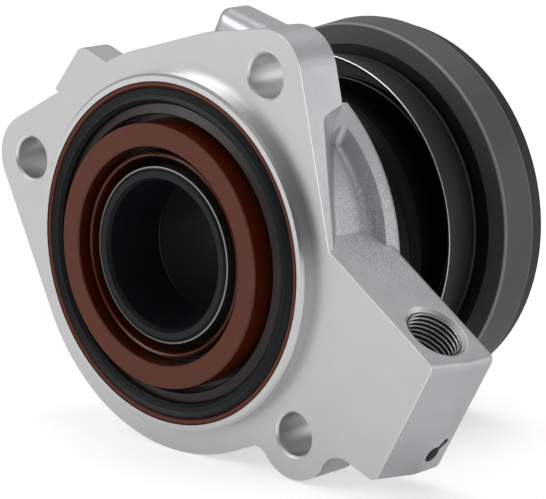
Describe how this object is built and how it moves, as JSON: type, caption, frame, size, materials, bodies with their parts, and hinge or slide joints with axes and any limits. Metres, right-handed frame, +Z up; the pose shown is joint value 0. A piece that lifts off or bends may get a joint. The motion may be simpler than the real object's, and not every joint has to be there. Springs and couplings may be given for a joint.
{
  "type": "concentric slave cylinder",
  "caption": "Hydraulic clutch release cylinder that sits round the gearbox input shaft: aluminium housing with bolt ears and side port, seals, annular piston and release bearing.",
  "frame": {"origin": "on the bore axis in the plane of the machined mounting face", "axes": "+Y along the bore from the gearbox side towards the release bearing, +Z up as the part lies on its side, +X towards the port block"},
  "size_m": [0.1128, 0.0708, 0.0865],
  "materials": {
    "cast_aluminium": "as cast, with a machined mounting face",
    "sleeve_steel": "drawn, smooth",
    "spring_steel": "drawn wire",
    "black_rubber": "moulded, satin",
    "seal_rubber": "moulded, slightly glossy",
    "brown_rubber": "moulded, matt face and glossy walls",
    "gaiter_rubber": "moulded, satin",
    "piston_plastic": "glass filled",
    "cage_plastic": "moulded",
    "cup_steel": "blackened sheet with a bright trimmed edge",
    "bearing_steel": "ground",
    "race_steel": "dark hardened steel, turned"
  },
  "bodies": {
    "housing_body": {"housing": "cast_aluminium", "guide_sleeve": "sleeve_steel", "sleeve_o_ring": "black_rubber", "stop_ring": "spring_steel", "sleeve_lip_seal": "black_rubber", "lip_seal_garter_spring": "spring_steel", "rim_seal_ring": "brown_rubber", "face_seal_ring": "seal_rubber", "shaft_seal": "brown_rubber", "shaft_seal_insert": "sleeve_steel", "shaft_seal_garter_spring": "spring_steel", "drilling_plug": "bearing_steel", "preload_spring": "spring_steel", "gaiter": "gaiter_rubber"},
    "piston_body": {"piston": "piston_plastic", "piston_seal": "black_rubber", "piston_clip": "spring_steel", "bearing_cup": "cup_steel", "inner_race": "bearing_steel"},
    "outer_race_body": {"outer_race": "race_steel", "front_bearing_seal": "black_rubber", "rear_bearing_seal": "black_rubber"},
    "cage_body": {"ball_cage": "cage_plastic", "bearing_balls": "bearing_steel"}
  },
  "joints": [
    {"name": "release_slide", "type": "slide", "parent": "housing_body", "child": "piston_body", "axis": [0, 1, 0], "range_m": [-0.0115, 0], "stiffness_N_per_m": 2500, "springref_m": 0.02, "deforming": ["preload_spring", "gaiter"]},
    {"name": "race_spin", "type": "hinge", "parent": "piston_body", "child": "outer_race_body", "pos_m": [0, 0.0572, 0], "axis": [0, 1, 0], "continuous": true},
    {"name": "cage_spin", "type": "hinge", "parent": "piston_body", "child": "cage_body", "pos_m": [0, 0.0572, 0], "axis": [0, 1, 0], "continuous": true}
  ],
  "couplings": [
    {"joint": "cage_spin", "follows": "race_spin", "ratio": 0.569}
  ]
}
